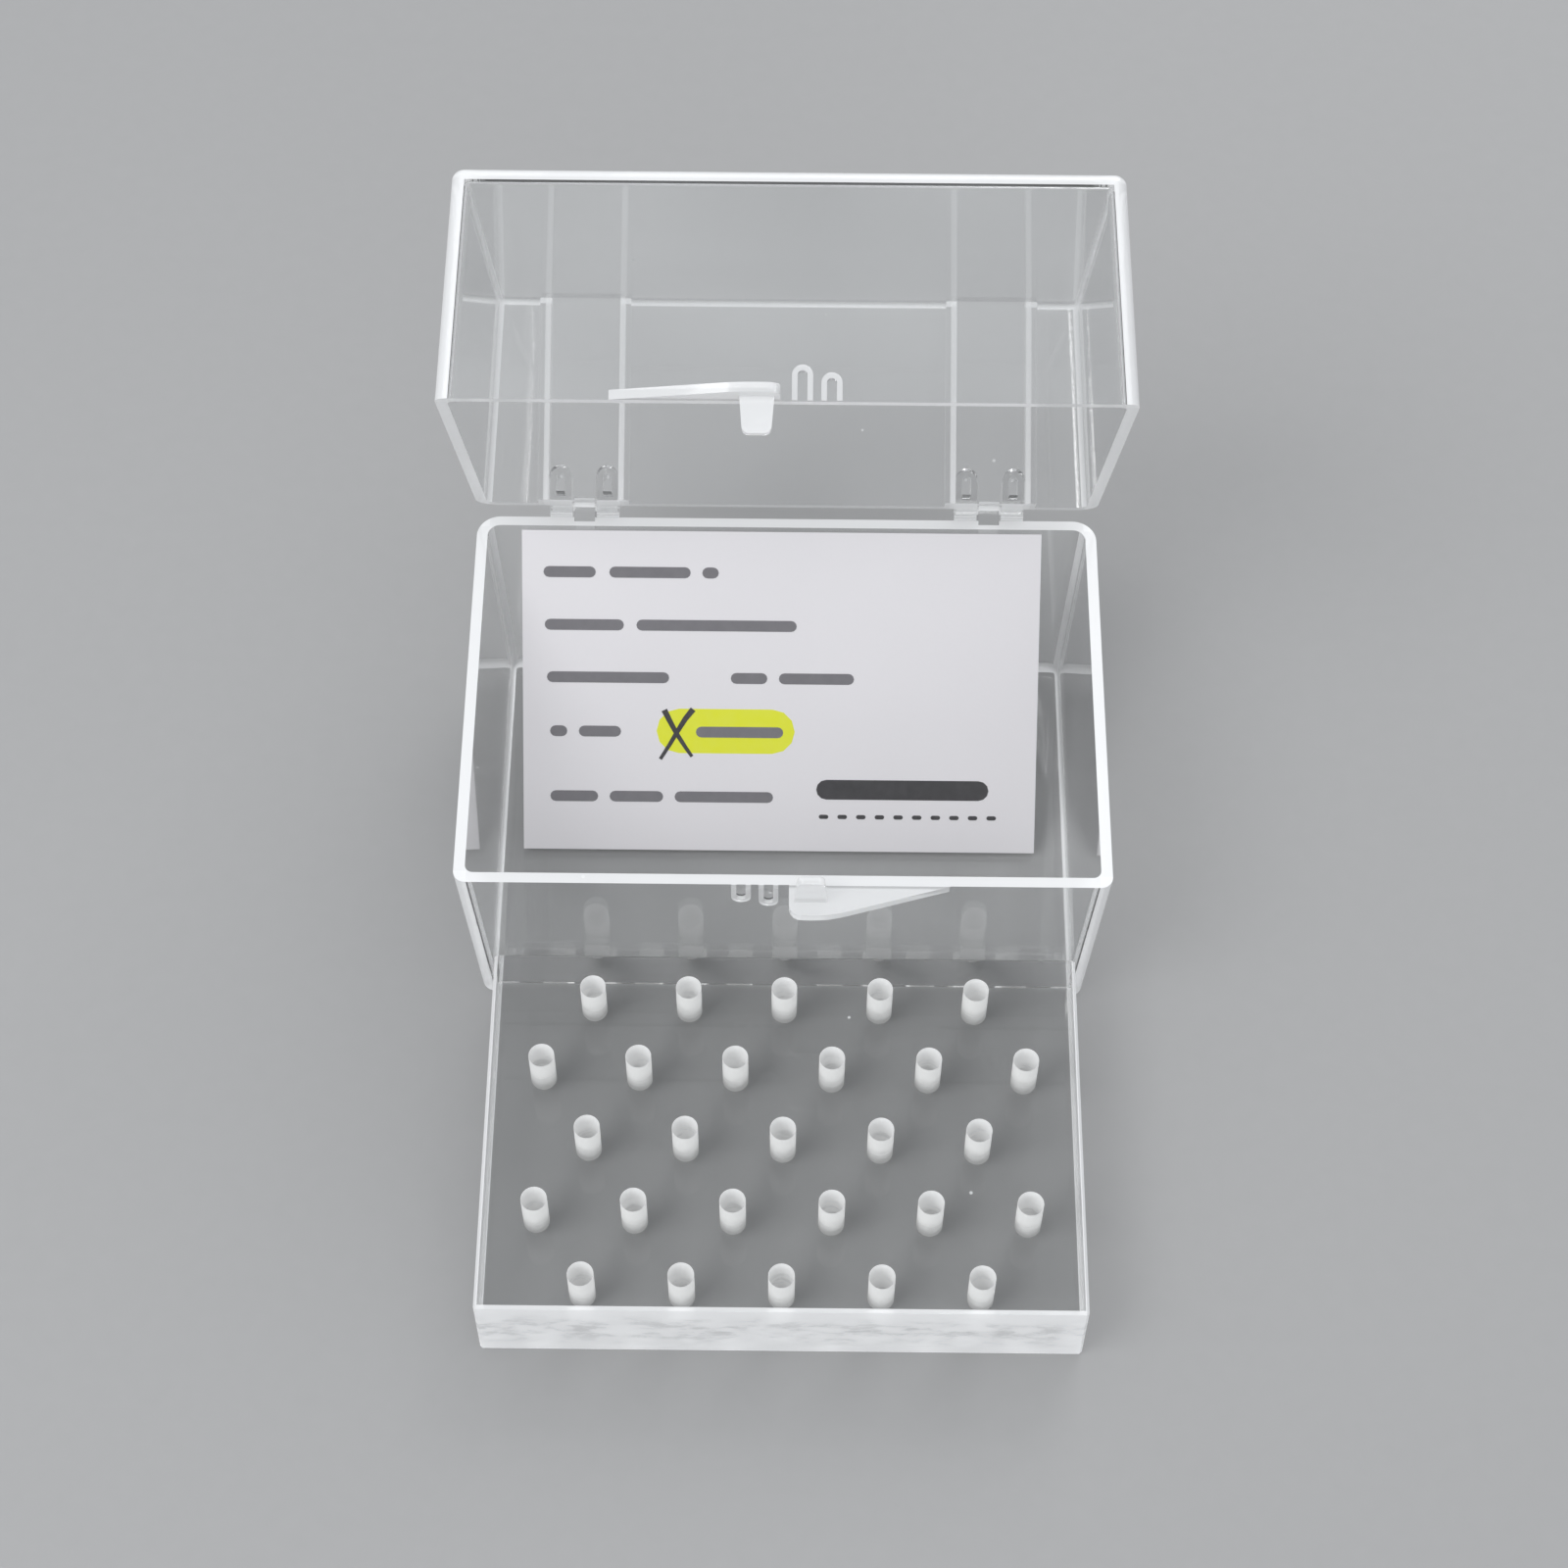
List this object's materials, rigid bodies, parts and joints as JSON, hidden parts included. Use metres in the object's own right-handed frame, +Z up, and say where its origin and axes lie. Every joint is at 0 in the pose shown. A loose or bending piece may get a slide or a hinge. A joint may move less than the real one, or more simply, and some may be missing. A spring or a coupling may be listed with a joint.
{
  "type": "dental bur block",
  "caption": "Clear block drilled with staggered blind holes for dental burs, with its own open hinged clear case and a leaning label card.",
  "frame": {"origin": "centre of the case base's underside, on the surface that the case and the block stand on", "axes": "+Z up, +Y from the block in front towards the hinge at the back, +X along the hinge to the right"},
  "size_m": [0.0636, 0.1011, 0.0735],
  "materials": {
    "clear_styrene": "polished clear moulded polystyrene",
    "clear_acrylic": "clear acrylic with satin sawn edges and frosted bores",
    "card_stock": null
  },
  "bodies": {
    "case": {"case_base": "clear_styrene", "bur_block": "clear_acrylic", "label_card": "card_stock"},
    "lid": {"case_lid": "clear_styrene"}
  },
  "joints": [
    {"name": "lid_hinge", "type": "hinge", "parent": "case", "child": "lid", "pos_m": [0, 0.02289, 0.02505], "axis": [1, 0, 0], "range_deg": [0, 66]}
  ]
}
